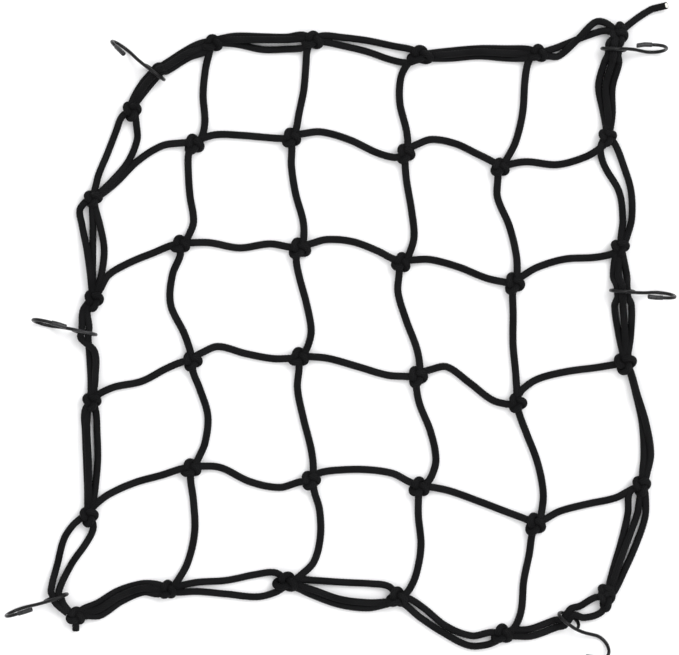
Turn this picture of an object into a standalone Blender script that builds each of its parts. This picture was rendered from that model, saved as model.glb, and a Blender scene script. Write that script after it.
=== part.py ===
"""Elastic cargo net: a knotted mesh in a corded edge, with six wire hooks.

The net lies flat on the floor, seen from above: X to the right, Y away, Z up.
Every cord runs between two knots. The tables give its bow off the straight
line between them, so the net keeps its own uneven lie.
"""

import math

import bmesh
import bpy
from mathutils import Matrix, Vector

MM = 0.001
MIDDLE = Vector((-0.2, -2.3, 0.0))   # middle of the whole outline, put over the origin

# Cord and knots, in millimetres
MESH_CORD = 2.45         # radius of the cord that makes the mesh
EDGE_CORD = 2.35         # radius of the cords along the edge
CORD_SIDES = 8
KNOT_CORD = 2.1          # radius of the cord where it is pulled tight in a knot
KNOT_MIDDLE = 0.46       # a knot's middle above the floor, as a share of its height
KNOT_EXIT = 7.0          # distance from a knot's middle to where a cord leaves it
KNOT_START = 1.5         # where a cord starts inside its knot
EXIT_HEIGHT = 4.2        # cord's middle where it leaves the knot
KNOT_STEPS = 42
SPAN_STEPS = 14          # lengths between the two exits of a cord
VOXEL = 0.8              # finest step of the fused surface
FLOOR_TOUCH = 0.35       # what hangs less than this above the floor is pressed flat on it
NET_TRIANGLES = 11400

# Wire hook, in millimetres
WIRE = 1.15
WIRE_SIDES = 8
EYE_RADIUS = 7.8
BEND_RADIUS = 9.1
EYE_TO_BEND = 26.0
EYE_START = -4.0         # degrees, the wire's end beside the shank
TWIST_END = 14.0         # the shank is twisted from the eye's middle as far as this
RETURN_LEG = 13.0        # straight wire behind the bend
TIP_LENGTH = 10.5        # thicker dipped tip on the end of it
TIP = 1.6
TIP_EDGE = 0.4           # rounding of the tip's two edges
EYE_STEPS = 18
BEND_STEPS = 12
SEAT_ROOM = 3.6          # from an eye's middle to the middle of a cord that lies in it
SEAT_STACK = 4.9         # between the middles of cords that lie on each other
SEAT_REACH = 4.0         # cords run level and straight this far on both sides of the eye
SEAT_CLEAR = 6.5         # a bow this close to a hook gives way to its seat

# name: x, y, width, depth, height, turn of the three lobes in degrees
KNOTS = {
    "K11": (-98.0, 121.3, 13.6, 14.4, 9.6, -43),
    "K12": (-33.3, 125.7, 13.0, 13.6, 9.4, -47),
    "K13": (42.7, 115.2, 13.0, 13.6, 9.6, -34),
    "K14": (105.8, 106.0, 12.8, 13.0, 9.4, -55),
    "K21": (-107.3, 54.9, 13.6, 12.4, 9.2, -57),
    "K22": (-27.8, 52.0, 15.2, 14.6, 9.8, -45),
    "K23": (40.0, 42.7, 13.0, 13.8, 9.4, -70),
    "K24": (115.3, 28.7, 13.8, 15.4, 9.8, -36),
    "K31": (-99.2, -22.9, 13.4, 13.2, 9.4, -25),
    "K32": (-28.3, -20.3, 13.8, 13.2, 9.2, -60),
    "K33": (50.9, -33.3, 13.4, 14.8, 9.6, -28),
    "K34": (117.3, -50.7, 12.8, 13.2, 9.4, -30),
    "K41": (-100.2, -94.2, 14.2, 12.8, 9.4, -55),
    "K42": (-20.4, -102.2, 13.4, 13.0, 9.4, -25),
    "K43": (52.0, -106.9, 14.0, 14.0, 9.6, -60),
    "K44": (129.2, -131.8, 14.0, 15.8, 9.8, -45),
    "TL": (-139.3, 144.0, 12.6, 14.0, 10.8, -12),
    "T1": (-85.8, 188.9, 14.4, 11.6, 10.6, -65),
    "T2": (-18.9, 190.7, 15.0, 12.6, 10.8, -68),
    "T3": (52.7, 180.7, 18.0, 13.4, 11.0, -60),
    "T4": (131.0, 182.0, 13.8, 12.4, 10.8, -66),
    "TR": (184.9, 192.8, 12.8, 14.8, 11.4, -10),
    "TR_upper": (185.8, 198.6, 9.6, 9.6, 9.8, -60),
    "R1": (177.3, 126.4, 12.6, 12.6, 10.8, -12),
    "R2": (185.8, 52.9, 13.0, 11.8, 10.4, -8),
    "R3": (189.0, -24.2, 15.6, 14.8, 11.0, -10),
    "R4": (200.0, -105.8, 12.8, 14.4, 10.8, -10),
    "BR": (176.7, -180.7, 12.0, 17.4, 11.0, -12),
    "BR_upper": (176.0, -175.6, 11.6, 9.4, 10.8, -20),
    "B4": (107.2, -204.7, 14.6, 13.8, 10.6, -60),
    "B3": (37.3, -180.4, 15.0, 14.4, 11.0, -62),
    "B2": (-36.7, -170.0, 17.4, 13.8, 11.0, -74),
    "B1": (-115.5, -175.3, 12.0, 13.4, 10.8, -60),
    "BL": (-176.7, -192.7, 13.0, 12.6, 10.6, -65),
    "L4": (-168.0, -126.2, 12.8, 13.8, 10.6, -12),
    "L3": (-166.2, -49.9, 12.8, 13.0, 10.8, -15),
    "L2": (-164.7, 17.8, 13.0, 15.0, 11.0, -16),
    "L1": (-165.3, 85.5, 12.8, 11.8, 10.6, -15),
}

# from, to, bow to the left at: first exit, quarter, middle, three-quarter, last exit
MESH_STRANDS = [
    ("L1", "K11", 0.0, 2.4, 8.2, 9.5, 5.2),
    ("K11", "K12", 4.3, 5.9, 4.2, 1.7, 0.4),
    ("K12", "K13", 4.0, 7.0, 4.5, -1.5, -3.2),
    ("K13", "K14", 7.6, 12.2, 11.8, 7.0, 4.0),
    ("K14", "R1", 0.5, -1.0, -8.3, -8.7, -5.9),
    ("L2", "K21", 3.6, 8.8, 8.1, 4.9, 3.1),
    ("K21", "K22", 1.5, 2.0, -0.7, 2.7, 1.1),
    ("K22", "K23", 4.5, 8.7, 9.7, 6.0, 2.4),
    ("K23", "K24", 3.3, 5.8, 4.3, 0.5, 0.0),
    ("K24", "R2", 3.2, 5.5, 4.7, -0.5, -2.2),
    ("L3", "K31", 3.1, 3.5, 0.3, 2.0, 2.2),
    ("K31", "K32", 5.7, 9.3, 4.0, 0.0, -0.4),
    ("K32", "K33", 1.8, 2.6, 0.4, -2.0, -0.8),
    ("K33", "K34", 6.9, 11.5, 5.2, -2.0, -2.4),
    ("K34", "R3", 7.6, 10.3, 8.3, 4.0, 1.7),
    ("L4", "K41", 5.2, 7.7, 7.3, 4.1, 2.7),
    ("K41", "K42", 2.3, 2.5, -4.8, -6.7, -1.7),
    ("K42", "K43", 5.9, 8.1, 9.6, 8.2, 3.5),
    ("K43", "K44", 2.7, 4.1, 3.5, 2.4, 1.8),
    ("K44", "R4", 1.2, 2.8, 1.0, -1.6, 0.0),
    ("T1", "K11", -0.8, -1.4, 0.0, 4.3, 4.4),
    ("K11", "K21", -2.6, -1.5, 2.0, 6.8, 5.0),
    ("K21", "K31", -0.5, -7.1, -10.3, -3.5, -0.5),
    ("K31", "K41", 0.8, 5.2, 10.9, 9.5, 5.2),
    ("K41", "B1", 1.3, 5.8, 10.5, 9.7, 5.2),
    ("T2", "K12", -2.2, -0.9, 1.3, 1.6, 2.0),
    ("K12", "K22", 0.0, -1.1, 0.3, 3.9, 3.5),
    ("K22", "K32", -2.0, 0.0, 5.0, 8.3, 5.9),
    ("K32", "K42", -0.3, -2.7, -0.6, 2.5, 2.7),
    ("K42", "B2", 4.5, 10.4, 15.2, 14.9, 8.6),
    ("T3", "K13", -7.6, -10.5, -8.6, -1.8, 0.7),
    ("K13", "K23", 0.3, 1.7, 5.5, 8.0, 5.5),
    ("K23", "K33", -2.3, -4.8, -2.0, 2.2, 2.6),
    ("K33", "K43", -0.8, 1.3, 8.3, 11.5, 8.2),
    ("K43", "B3", 1.0, 3.3, 8.8, 9.5, 6.9),
    ("T4", "K14", -4.2, -2.3, 2.8, 4.5, 2.5),
    ("K14", "K24", -2.2, -3.9, 1.5, 3.8, 2.9),
    ("K24", "K34", -1.2, -1.1, -1.7, -0.4, 0.0),
    ("K34", "K44", 0.3, 3.2, 7.7, 8.6, 5.3),
    ("K44", "B4", 0.0, 1.9, 3.7, 7.7, 6.7),
]

# The edge, clockwise: bow outwards at the same five places, then the height
# above the floor of the cord's underside at the quarter, middle, three-quarter
EDGE_STRANDS = [
    ("TL", "T1", 6.1, 9.8, 10.3, 8.0, 5.6, 0.0, 0.0, 0.0),
    ("TL", "T1", 2.6, 4.9, 5.4, 2.7, -1.3, 0.0, 0.0, 0.0),
    ("TL", "T1", 4.4, 7.4, 8.0, 5.5, 2.2, 4.4, 4.4, 4.0),
    ("T1", "T2", 3.3, 4.6, 3.7, 3.0, 4.1, 0.0, 0.0, 0.0),
    ("T1", "T2", 0.0, -1.0, -4.9, -5.1, -4.6, 0.0, 0.0, 0.0),
    ("T1", "T2", 1.7, 1.9, 1.4, 1.0, 1.6, 4.2, 4.5, 4.5),
    ("T2", "T3", 4.4, 5.0, 5.2, 4.0, 3.4, 0.0, 0.0, 0.0),
    ("T2", "T3", 0.4, -0.3, -2.0, -5.4, -5.6, 0.0, 0.0, 0.0),
    ("T3", "T4", 1.6, 2.9, 4.2, 3.8, 3.3, 0.0, 0.0, 0.0),
    ("T3", "T4", -1.8, -2.0, -0.8, -2.6, -2.7, 0.0, 0.0, 0.0),
    ("T3", "T4", 0.0, 0.5, 1.8, 0.6, 0.3, 4.3, 4.3, 4.0),
    ("T4", "TR", 0.8, 1.7, 4.2, 6.3, 6.0, 0.0, 0.0, 0.0),
    ("T4", "TR", -3.1, -4.1, 3.8, 13.0, 11.6, 0.0, 5.0, 0.8),
    ("TR", "R1", 2.6, 2.2, -0.3, 1.6, 1.5, 0.0, 0.0, 0.0),
    ("TR", "R1", -7.6, -7.3, -9.6, -4.6, -1.7, 0.0, 0.0, 0.0),
    ("TR", "R1", -2.4, -2.4, -4.9, -1.5, 0.0, 2.4, 2.2, 3.8),
    ("R1", "R2", 5.3, 8.4, 11.7, 10.1, 5.6, 0.0, 0.0, 0.0),
    ("R1", "R2", -5.4, -4.0, 3.8, 4.1, 1.5, 0.0, 0.0, 0.0),
    ("R2", "R3", 2.0, 3.9, 6.1, 4.9, 2.6, 0.0, 0.0, 0.0),
    ("R2", "R3", -3.6, -5.2, -5.1, -3.2, -1.2, 0.0, 0.0, 0.0),
    ("R2", "R3", -1.0, -1.8, 0.4, 0.9, 0.6, 3.6, 1.6, 3.0),
    ("R3", "R4", 3.4, 5.2, 8.6, 9.2, 4.6, 4.6, 3.6, 0.6),
    ("R3", "R4", 2.8, 4.6, 6.2, 4.6, 1.6, 0.0, 0.0, 0.0),
    ("R4", "BR", 5.2, 8.7, 8.2, 5.9, 3.9, 0.0, 0.0, 0.0),
    ("R4", "BR", -6.2, -3.1, -1.6, -1.3, -0.7, 0.0, 0.0, 0.0),
    ("R4", "BR", 1.3, 3.0, 2.0, 1.0, 1.2, 0.4, 3.4, 4.2),
    ("BR", "B4", 7.8, 7.3, 7.5, 7.6, 3.6, 0.0, 0.0, 0.0),
    ("BR", "B4", -3.0, -0.8, 2.6, 2.7, -0.5, 0.0, 0.0, 0.0),
    ("B4", "B3", 9.6, 14.3, 11.9, 7.2, 2.6, 0.0, 0.0, 0.0),
    ("B4", "B3", 0.9, 7.5, 7.0, 0.4, -2.3, 0.0, 0.0, 0.0),
    ("B3", "B2", -7.0, -6.9, -5.2, -3.9, -3.0, 0.0, 0.0, 0.0),
    ("B3", "B2", 5.4, 9.5, 9.8, 6.0, 2.4, 0.0, 0.0, 0.0),
    ("B3", "B2", 3.6, 5.7, 6.0, 2.4, 0.5, 3.0, 3.0, 3.4),
    ("B2", "B1", -7.0, -6.5, -3.9, -3.9, -2.2, 0.0, 0.0, 0.0),
    ("B2", "B1", 6.0, 8.4, 5.3, 2.2, 1.8, 0.0, 0.0, 0.0),
    ("B1", "BL", 0.6, -3.1, -1.2, 3.9, 1.7, 0.0, 0.0, 0.0),
    ("B1", "BL", -6.4, -8.9, -8.7, -4.5, -3.6, 0.0, 0.0, 0.0),
    ("B1", "BL", -3.0, -6.0, -4.9, -0.3, -1.0, 4.0, 3.2, 2.6),
    ("BL", "L4", 9.4, 15.7, 16.6, 14.4, 9.6, 0.0, 0.0, 0.0),
    ("BL", "L4", 4.6, 10.4, 7.6, -1.0, -4.0, 0.0, 0.0, 0.0),
    ("L4", "L3", 0.9, 1.4, 2.6, 3.8, 4.4, 0.0, 0.0, 0.0),
    ("L4", "L3", -2.2, -3.8, -5.0, -4.1, -3.2, 0.0, 0.0, 0.0),
    ("L4", "L3", 0.0, 0.4, 1.0, 2.4, 2.4, 4.2, 4.5, 4.5),
    ("L3", "L2", 0.5, 0.9, 2.3, 4.1, 4.2, 0.0, 0.0, 0.0),
    ("L3", "L2", -1.4, -2.3, -1.3, 7.6, 7.0, 3.7, 4.0, 3.2),
    ("L2", "L1", 1.2, 2.0, 4.2, 7.5, 8.6, 4.4, 3.2, 0.4),
    ("L2", "L1", 0.5, 0.6, 0.4, 0.2, 0.4, 0.0, 0.0, 0.0),
    ("L2", "L1", -2.2, -5.2, -7.2, -4.4, -1.8, 0.0, 0.0, 1.6),
    ("L1", "TL", 1.4, 3.0, 3.4, 4.2, 4.6, 0.0, 0.0, 0.0),
    ("L1", "TL", -3.4, -7.0, -11.4, -10.9, -6.4, 2.6, 0.0, 0.0),
]

# from, x and y of the cut end, then the bow at the same five places
LOOSE_ENDS = [
    ("TR", 216.7, 214.1, 2.9, 3.3, 3.9, 3.5, 2.7),
    ("BL", -176.7, -202.2, 0.0, 0.0, 0.0, 0.0, 0.0),
]

# name, edge knots on both sides, x and y of the eye, direction, lean of the eye and
# of the bend to the left, how far the bend is bent round, then the direction of the
# cords in the eye, how far outwards they sit there and half the spread of the outer two
HOOKS = [
    ("hook_1", "TL", "T1", -123.9, 169.4, 140.8, 3.0, 9.5, 44.0, 48.0, -0.7, 2.4),
    ("hook_2", "TR", "R1", 181.4, 184.8, -3.8, 0.0, 13.5, 78.0, -95.5, 0.0, 3.4),
    ("hook_3", "R2", "R3", 187.2, 24.0, -2.4, -3.0, -11.0, 68.0, -86.0, 0.0, 3.4),
    ("hook_4", "BR", "B4", 151.6, -194.9, -29.5, -18.0, -41.0, 42.0, 230.0, -2.0, 2.2),
    ("hook_5", "BL", "L4", -189.6, -180.1, 197.4, 3.0, 7.0, 68.0, 112.0, -0.8, 2.6),
    ("hook_6", "L3", "L2", -170.7, -3.5, 169.4, -3.0, -8.5, 94.0, 85.0, -0.3, -2.4),
]


def knot_place(name):
    """Middle of a knot: its place and its height above the floor."""
    x, y, _, _, height, _ = KNOTS[name]
    return Vector((x, y, KNOT_MIDDLE * height))


def smooth_value(stations, values, at):
    """Value at a place along a smooth curve through the stations."""
    slopes = []
    for i in range(len(stations)):
        low = max(i - 1, 0)
        high = min(i + 1, len(stations) - 1)
        slopes.append((values[high] - values[low]) / (stations[high] - stations[low]))
    i = 0
    while i < len(stations) - 2 and at > stations[i + 1]:
        i += 1
    width = stations[i + 1] - stations[i]
    t = (at - stations[i]) / width
    rise = (1 + 2 * t) * (1 - t) ** 2 * values[i] + t * (1 - t) ** 2 * width * slopes[i]
    fall = t * t * (3 - 2 * t) * values[i + 1] - t * t * (1 - t) * width * slopes[i + 1]
    return rise + fall


def strand_path(start, end, bows, heights, radius, seat=None, loose=False):
    """Points along a cord between two knots, or from a knot to its cut end."""
    chord = (end - start).to_2d()
    length = chord.length
    ahead = chord.normalized()
    left = Vector((-ahead.y, ahead.x))
    last = length - KNOT_EXIT
    stations = [0.0, KNOT_EXIT, length / 4, length / 2, 3 * length / 4, last, length]
    side = [0.35 * bows[0], *bows, 0.35 * bows[4]]
    lift = [start.z, EXIT_HEIGHT, *(radius + h for h in heights), EXIT_HEIGHT, end.z]
    if loose:
        side[5:] = [bows[4], 0.0]
        lift[5:] = [radius, radius]
    if loose and length < 4 * KNOT_EXIT:
        stations, side, lift = [0.0, length], [0.0, 0.0], [start.z, radius]
    if seat:
        eye, run, offset, height = seat
        at = (eye - start.to_2d()).dot(ahead)
        aside = (eye - start.to_2d()).dot(left) + offset
        slope = run.dot(left) / run.dot(ahead)
        kept = [i for i, s in enumerate(stations) if abs(s - at) > SEAT_CLEAR]
        rows = [(stations[i], side[i], lift[i]) for i in kept]
        for reach in (-SEAT_REACH, 0.0, SEAT_REACH):
            rows.append((at + reach, aside + slope * reach, height))
        stations, side, lift = (list(column) for column in zip(*sorted(rows)))
    finish = length if loose else length - KNOT_START
    steps = SPAN_STEPS + 2
    points = []
    for step in range(steps + 1):
        place = KNOT_START + (finish - KNOT_START) * step / steps
        flat = start.to_2d() + ahead * place + left * smooth_value(stations, side, place)
        points.append(Vector((flat.x, flat.y, smooth_value(stations, lift, place))))
    return points


def knot_path(x, y, width, depth, height, turn):
    """Round of a knot: three lobes of cord that pass over and under each other."""
    wide = (width / 2 - KNOT_CORD) / 2.7
    deep = (depth / 2 - KNOT_CORD) / 2.7
    swing = height / 2 - KNOT_CORD
    points = []
    for step in range(KNOT_STEPS):
        t = math.tau * step / KNOT_STEPS
        flat = Vector((math.sin(t) + 2 * math.sin(2 * t), math.cos(t) - 2 * math.cos(2 * t)))
        flat.rotate(Matrix.Rotation(math.radians(turn), 2))
        z = KNOT_MIDDLE * height - swing * math.sin(3 * t)
        points.append(Vector((x + flat.x * wide, y + flat.y * deep, z)))
    return points


def add_tube(mesh, points, radii, sides, closed=False, normal=None):
    """Sweep a regular section of a cord or wire along the points, in millimetres."""
    rings = []
    count = len(points)
    for i, point in enumerate(points):
        before = points[i - 1] if closed or i else points[i]
        after = points[(i + 1) % count] if closed or i < count - 1 else points[i]
        ahead = (after - before).normalized()
        up = (normal or Vector((0, 0, 1))).cross(ahead).normalized()
        across = up.cross(ahead)
        ring = []
        for side in range(sides):
            angle = math.tau * side / sides
            offset = across * math.cos(angle) + up * math.sin(angle)
            ring.append(mesh.verts.new((point - MIDDLE + offset * radii[i]) * MM))
        rings.append(ring)
    pairs = list(zip(rings, rings[1:]))
    if closed:
        pairs.append((rings[-1], rings[0]))
    for near, far in pairs:
        for side in range(sides):
            nxt = (side + 1) % sides
            mesh.faces.new((near[side], near[nxt], far[nxt], far[side]))
    if not closed:
        mesh.faces.new(list(reversed(rings[0])))
        mesh.faces.new(rings[-1])


def make_material(name, colour, roughness, metallic=0.0):
    """Plain finish of one sub-part."""
    material = bpy.data.materials.new(name)
    material.use_nodes = True
    shader = material.node_tree.nodes["Principled BSDF"]
    shader.inputs["Base Color"].default_value = (*colour, 1.0)
    shader.inputs["Roughness"].default_value = roughness
    shader.inputs["Metallic"].default_value = metallic
    return material


def make_object(name, mesh, material):
    """Put a mesh in the scene, smooth and facing outwards."""
    bmesh.ops.recalc_face_normals(mesh, faces=mesh.faces)
    for face in mesh.faces:
        face.smooth = True
    data = bpy.data.meshes.new(name)
    mesh.to_mesh(data)
    mesh.free()
    data.materials.append(material)
    item = bpy.data.objects.new(name, data)
    bpy.context.collection.objects.link(item)
    return item


def add_mesh_strands(mesh):
    """The cords of the mesh, each from knot to knot."""
    level = (0.0, 0.0, 0.0)
    for first, last, *bows in MESH_STRANDS:
        points = strand_path(knot_place(first), knot_place(last), bows, level, MESH_CORD)
        add_tube(mesh, points, [MESH_CORD] * len(points), CORD_SIDES)


def seats_in_eye(spread):
    """Side and height of the cords in an eye: two on its bottom, the third on top of them."""
    low = EYE_RADIUS + WIRE - math.sqrt(SEAT_ROOM ** 2 - spread ** 2)
    top = low + math.sqrt(SEAT_STACK ** 2 - spread ** 2)
    return [(spread, low), (-spread, low), (0.0, top)]


def add_edge_strands(mesh):
    """The two or three cords of each length of edge, seated in a hook's eye if it has one."""
    eyes = {(row[1], row[2]): (*row[3:5], *row[9:]) for row in HOOKS}
    used = {}
    for first, last, *sizes in EDGE_STRANDS:
        seat = None
        if (first, last) in eyes:
            place = used.get((first, last), 0)
            used[(first, last)] = place + 1
            x, y, heading, shift, spread = eyes[(first, last)]
            run = Vector((math.cos(math.radians(heading)), math.sin(math.radians(heading))))
            side, height = seats_in_eye(spread)[place]
            seat = (Vector((x, y)), run, shift + side, height)
        ends = knot_place(first), knot_place(last)
        points = strand_path(*ends, sizes[:5], sizes[5:], EDGE_CORD, seat)
        add_tube(mesh, points, [EDGE_CORD] * len(points), CORD_SIDES)


def add_loose_ends(mesh):
    """The long tail at one corner and the short cut end at another."""
    level = (0.0, 0.0, 0.0)
    for first, x, y, *bows in LOOSE_ENDS:
        end = Vector((x, y, EDGE_CORD))
        points = strand_path(knot_place(first), end, bows, level, EDGE_CORD, loose=True)
        add_tube(mesh, points, [EDGE_CORD] * len(points), CORD_SIDES)


def apply_modifier(item, modifier):
    """Apply one modifier to its object."""
    bpy.context.view_layer.objects.active = item
    bpy.ops.object.modifier_apply(modifier=modifier.name)


def keep_outer_skin(body):
    """Drop the skins of small hollows that the cords close in inside a knot."""
    waiting = set(body.verts)
    skins = []
    while waiting:
        skin = [waiting.pop()]
        for vert in skin:
            for edge in vert.link_edges:
                other = edge.other_vert(vert)
                if other in waiting:
                    waiting.remove(other)
                    skin.append(other)
        skins.append(skin)
    outer = max(skins, key=len)
    for skin in skins:
        if skin is not outer:
            bmesh.ops.delete(body, geom=skin, context="VERTS")


def press_flat(data):
    """Press the undersides flat where they meet the floor."""
    for vert in data.vertices:
        if vert.co.z < FLOOR_TOUCH * MM:
            vert.co.z = 0.0


def make_net():
    """The whole net as one body, its knots pressed flat on the floor."""
    cords = bmesh.new()
    add_mesh_strands(cords)
    add_edge_strands(cords)
    add_loose_ends(cords)
    for row in KNOTS.values():
        add_tube(cords, knot_path(*row), [KNOT_CORD] * KNOT_STEPS, CORD_SIDES, closed=True)
    cord = make_material("black_elastic_cord", (0.012, 0.012, 0.013), 0.85)
    net = make_object("net", cords, cord)
    fuse = net.modifiers.new("fuse_cords", "REMESH")
    fuse.mode = "VOXEL"
    fuse.voxel_size = VOXEL * MM
    apply_modifier(net, fuse)
    body = bmesh.new()
    body.from_mesh(net.data)
    keep_outer_skin(body)
    body.to_mesh(net.data)
    body.free()
    press_flat(net.data)
    thin = net.modifiers.new("thin_out", "DECIMATE")
    thin.ratio = NET_TRIANGLES / (2 * len(net.data.polygons))
    thin.use_collapse_triangulate = True
    apply_modifier(net, thin)
    press_flat(net.data)
    net.data.shade_smooth()


def bent_wire(bend):
    """Wire as it is bent flat, X along the hook from its eye: its points and radii."""
    tangent = math.acos((EYE_RADIUS + BEND_RADIUS) / EYE_TO_BEND)
    start = math.radians(EYE_START)
    flat = []
    for step in range(EYE_STEPS + 1):
        angle = start - (math.tau + start - tangent) * step / EYE_STEPS
        flat.append((EYE_RADIUS * math.cos(angle), EYE_RADIUS * math.sin(angle)))
    first = tangent - math.pi
    for step in range(BEND_STEPS + 1):
        angle = first + (math.radians(bend) - first) * step / BEND_STEPS
        x = EYE_TO_BEND + BEND_RADIUS * math.cos(angle)
        flat.append((x, BEND_RADIUS * math.sin(angle)))
    points = [Vector((x, 0, z)) for x, z in flat]
    radii = [WIRE] * len(points)
    back = Vector((-math.sin(math.radians(bend)), 0, math.cos(math.radians(bend))))
    bare = RETURN_LEG - TIP_LENGTH
    end = points[-1]
    tip = [(bare, WIRE), (bare + TIP_EDGE, TIP), (RETURN_LEG - TIP_EDGE, TIP),
           (RETURN_LEG, TIP - TIP_EDGE)]
    for reach, radius in tip:
        points.append(end + back * reach)
        radii.append(radius)
    return points, radii


def twist_wire(points, eye_lean, lean):
    """Lean the eye and, more, the bend about the line from the eye's middle to its foot."""
    rise = Matrix.Rotation(-math.asin(BEND_RADIUS / EYE_TO_BEND), 3, "Y")
    twisted = []
    for point in points:
        raised = rise @ point
        share = min(max(raised.x / TWIST_END, 0.0), 1.0)
        tilt = math.radians(eye_lean + (lean - eye_lean) * share)
        leant = Vector((raised.x, raised.z * math.sin(tilt), raised.z * math.cos(tilt)))
        twisted.append(rise.inverted() @ leant)
    return twisted


def make_hook(name, x, y, heading, eye_lean, lean, bend, material):
    """One wire hook, standing on its eye and its bend, a little over on one side."""
    points, radii = bent_wire(bend)
    points = twist_wire(points, eye_lean, lean)
    eye_foot = min(point.z for point in points[:EYE_STEPS])
    bend_foot = min(point.z for point in points[EYE_STEPS + 1:])
    pitch = math.asin((eye_foot - bend_foot) / EYE_TO_BEND)
    turn = Matrix.Rotation(math.radians(heading), 3, "Z") @ Matrix.Rotation(-pitch, 3, "Y")
    points = [turn @ point for point in points]
    foot = min(point.z for point in points)
    middle = Vector((x, y, WIRE - foot))
    points = [middle + point for point in points]
    upright = turn @ Vector((0, 1, 0))
    wire = bmesh.new()
    add_tube(wire, points, radii, WIRE_SIDES, normal=upright)
    return make_object(name, wire, material)


for old in list(bpy.data.objects):
    bpy.data.objects.remove(old, do_unlink=True)

make_net()
coated_wire = make_material("black_coated_wire", (0.02, 0.02, 0.021), 0.4)
for hook_name, _, _, *place, _, _, _ in HOOKS:
    make_hook(hook_name, *place, coated_wire)
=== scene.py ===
"""Elastic cargo net, hand-knotted from black cord, with six wire hooks on its border."""

import math

import bmesh
import bpy
from mathutils import Matrix, Vector


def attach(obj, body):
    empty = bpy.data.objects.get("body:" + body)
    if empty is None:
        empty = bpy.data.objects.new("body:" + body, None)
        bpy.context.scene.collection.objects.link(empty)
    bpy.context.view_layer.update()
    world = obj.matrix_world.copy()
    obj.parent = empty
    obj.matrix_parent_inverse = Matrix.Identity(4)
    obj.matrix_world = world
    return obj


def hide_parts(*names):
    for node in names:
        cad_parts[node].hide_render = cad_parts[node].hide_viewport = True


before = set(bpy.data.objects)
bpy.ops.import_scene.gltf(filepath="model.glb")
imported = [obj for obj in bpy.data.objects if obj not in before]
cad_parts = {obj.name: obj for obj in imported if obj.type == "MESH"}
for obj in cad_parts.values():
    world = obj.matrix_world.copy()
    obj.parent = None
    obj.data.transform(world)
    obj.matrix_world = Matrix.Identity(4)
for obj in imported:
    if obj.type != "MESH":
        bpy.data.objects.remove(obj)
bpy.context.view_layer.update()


# ---------------------------------------------------------------- The knots
# Every knot is drawn up by hand from the net's own 5 mm elastic cord, which
# crosses itself in three lobes. The cord in it is pulled tight and thinner,
# and each knot has its own size, height and turn.

MM = 0.001
MIDDLE = Vector((-0.2, -2.3, 0.0))   # middle of the whole outline, put over the origin
KNOT_CORD = 2.1          # radius of the cord where it is pulled tight
KNOT_MIDDLE = 0.46       # a knot's middle above the floor, as a share of its height
BRAID_SIDES = 16         # crowns and hollows of the sheath round the cord
BRAID_STEP = 1.05        # from one ring of crowns to the next
KNOT_STEP = 0.58         # the same where the cord is drawn up tight
BRAID_RELIEF = 0.07      # how far a crown stands out of the sheath
LOBE_REACH = 2.7         # how far the lobes' curve reaches before it is sized
LOBE_SAMPLES = 240

# name: x, y, width, depth, height, turn of the three lobes in degrees
KNOTS = {
    "K11": (-98.0, 121.3, 13.6, 14.4, 9.6, -43),
    "K12": (-33.3, 125.7, 13.0, 13.6, 9.4, -47),
    "K13": (42.7, 115.2, 13.0, 13.6, 9.6, -34),
    "K14": (105.8, 106.0, 12.8, 13.0, 9.4, -55),
    "K21": (-107.3, 54.9, 13.6, 12.4, 9.2, -57),
    "K22": (-27.8, 52.0, 15.2, 14.6, 9.8, -45),
    "K23": (40.0, 42.7, 13.0, 13.8, 9.4, -70),
    "K24": (115.3, 28.7, 13.8, 15.4, 9.8, -36),
    "K31": (-99.2, -22.9, 13.4, 13.2, 9.4, -25),
    "K32": (-28.3, -20.3, 13.8, 13.2, 9.2, -60),
    "K33": (50.9, -33.3, 13.4, 14.8, 9.6, -28),
    "K34": (117.3, -50.7, 12.8, 13.2, 9.4, -30),
    "K41": (-100.2, -94.2, 14.2, 12.8, 9.4, -55),
    "K42": (-20.4, -102.2, 13.4, 13.0, 9.4, -25),
    "K43": (52.0, -106.9, 14.0, 14.0, 9.6, -60),
    "K44": (129.2, -131.8, 14.0, 15.8, 9.8, -45),
    "TL": (-139.3, 144.0, 12.6, 14.0, 10.8, -12),
    "T1": (-85.8, 188.9, 14.4, 11.6, 10.6, -65),
    "T2": (-18.9, 190.7, 15.0, 12.6, 10.8, -68),
    "T3": (52.7, 180.7, 18.0, 13.4, 11.0, -60),
    "T4": (131.0, 182.0, 13.8, 12.4, 10.8, -66),
    "TR": (184.9, 192.8, 12.8, 14.8, 11.4, -10),
    "TR_upper": (185.8, 198.6, 9.6, 9.6, 9.8, -60),
    "R1": (177.3, 126.4, 12.6, 12.6, 10.8, -12),
    "R2": (185.8, 52.9, 13.0, 11.8, 10.4, -8),
    "R3": (189.0, -24.2, 15.6, 14.8, 11.0, -10),
    "R4": (200.0, -105.8, 12.8, 14.4, 10.8, -10),
    "BR": (176.7, -180.7, 12.0, 17.4, 11.0, -12),
    "BR_upper": (176.0, -175.6, 11.6, 9.4, 10.8, -20),
    "B4": (107.2, -204.7, 14.6, 13.8, 10.6, -60),
    "B3": (37.3, -180.4, 15.0, 14.4, 11.0, -62),
    "B2": (-36.7, -170.0, 17.4, 13.8, 11.0, -74),
    "B1": (-115.5, -175.3, 12.0, 13.4, 10.8, -60),
    "BL": (-176.7, -192.7, 13.0, 12.6, 10.6, -65),
    "L4": (-168.0, -126.2, 12.8, 13.8, 10.6, -12),
    "L3": (-166.2, -49.9, 12.8, 13.0, 10.8, -15),
    "L2": (-164.7, 17.8, 13.0, 15.0, 11.0, -16),
    "L1": (-165.3, 85.5, 12.8, 11.8, 10.6, -15),
}


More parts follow.
